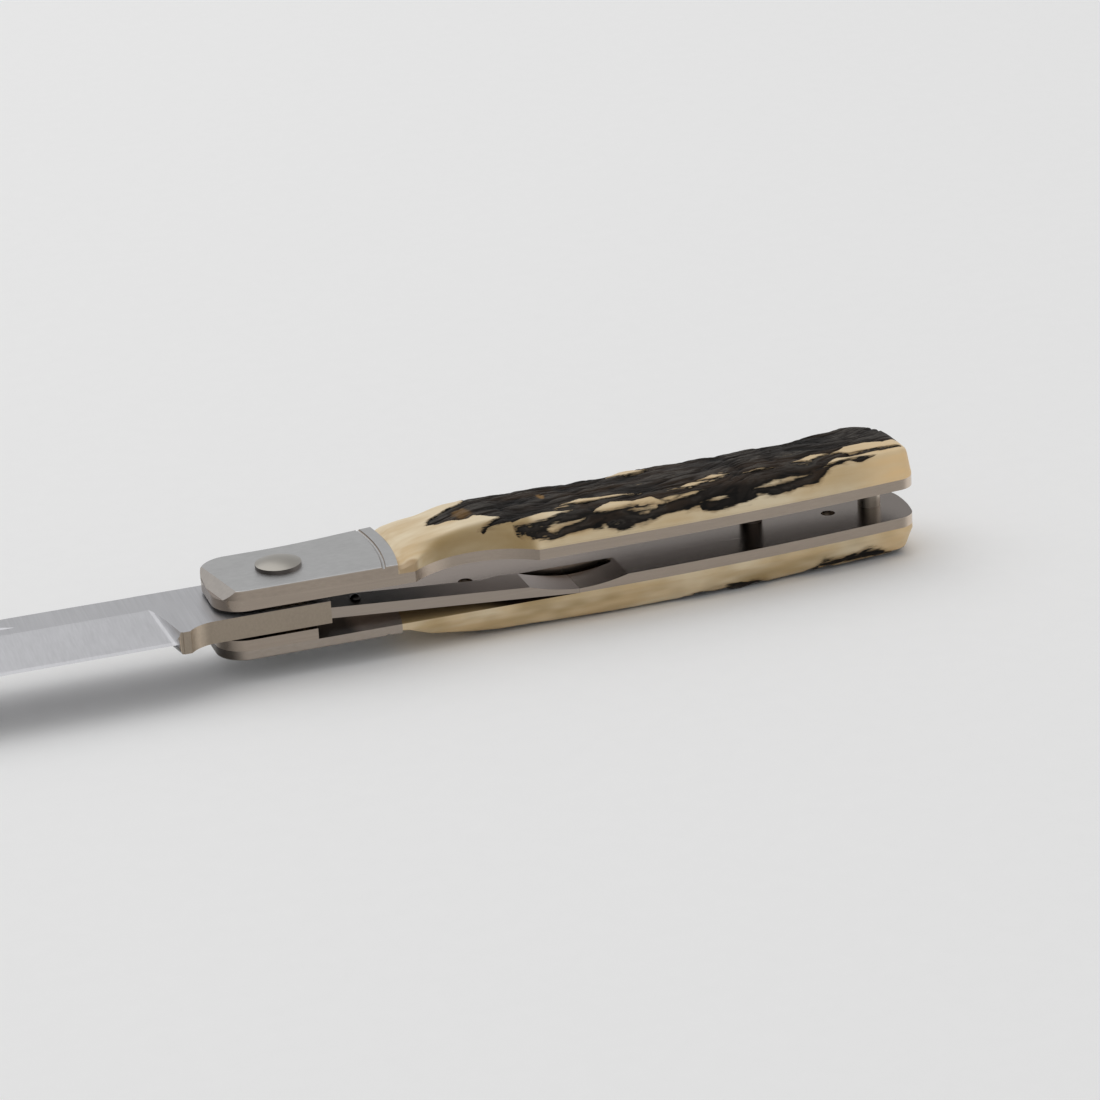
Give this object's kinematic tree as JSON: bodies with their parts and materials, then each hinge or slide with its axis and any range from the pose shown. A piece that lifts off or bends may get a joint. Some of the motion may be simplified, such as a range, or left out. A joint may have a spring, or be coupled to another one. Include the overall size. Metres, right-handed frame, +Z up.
{
  "type": "folding pocket knife",
  "caption": "Open folding knife with a liner lock: ground blade on a domed pivot, steel liners and bolsters, stag antler scales, thumb relief and stand-offs.",
  "frame": {"origin": "on the surface that the knife lies on, under the middle of the open knife", "axes": "+X from the blade's tip to the butt, +Y towards the spine, +Z up through the front scale"},
  "size_m": [0.1764, 0.0204, 0.0171],
  "materials": {
    "blade_steel": "satin ground steel",
    "liner_steel": "satin steel plate",
    "bolster_steel": "satin steel, soft edges",
    "pivot_steel": "turned steel",
    "hardware_steel": "plain steel",
    "washer_bronze": "plain bronze sheet",
    "stag": "cream antler with dark bark ridges"
  },
  "bodies": {
    "handle": {"front_liner": "liner_steel", "back_liner": "liner_steel", "front_bolster": "bolster_steel", "back_bolster": "bolster_steel", "front_bolster_pins": "hardware_steel", "back_bolster_pins": "hardware_steel", "front_scale": "stag", "back_scale": "stag", "front_scale_screws": "hardware_steel", "back_scale_screws": "hardware_steel", "middle_standoff": "hardware_steel", "rear_standoff": "hardware_steel", "front_standoff_screws": "hardware_steel", "back_standoff_screws": "hardware_steel", "pivot_barrel": "pivot_steel", "pivot_screw": "pivot_steel", "front_washer": "washer_bronze", "back_washer": "washer_bronze"},
    "blade": {"blade": "blade_steel", "stop_pin": "hardware_steel"},
    "lock": {"lock_bar": "liner_steel", "detent_ball": "hardware_steel"}
  },
  "joints": [
    {"name": "blade_fold", "type": "hinge", "parent": "handle", "child": "blade", "pos_m": [-0.0082, -0.00069, 0.00875], "axis": [0, 0, 1], "range_deg": [0, 180]},
    {"name": "lock_flex", "type": "hinge", "parent": "handle", "child": "lock", "pos_m": [0.0338, -0.00069, 0.00527], "axis": [0, -1, 0], "range_deg": [0, 4.3], "deforming": ["lock_bar", "detent_ball"]}
  ],
  "couplings": [
    {"joint": "lock_flex", "follows": "blade_fold", "ratio": 0.023889}
  ]
}
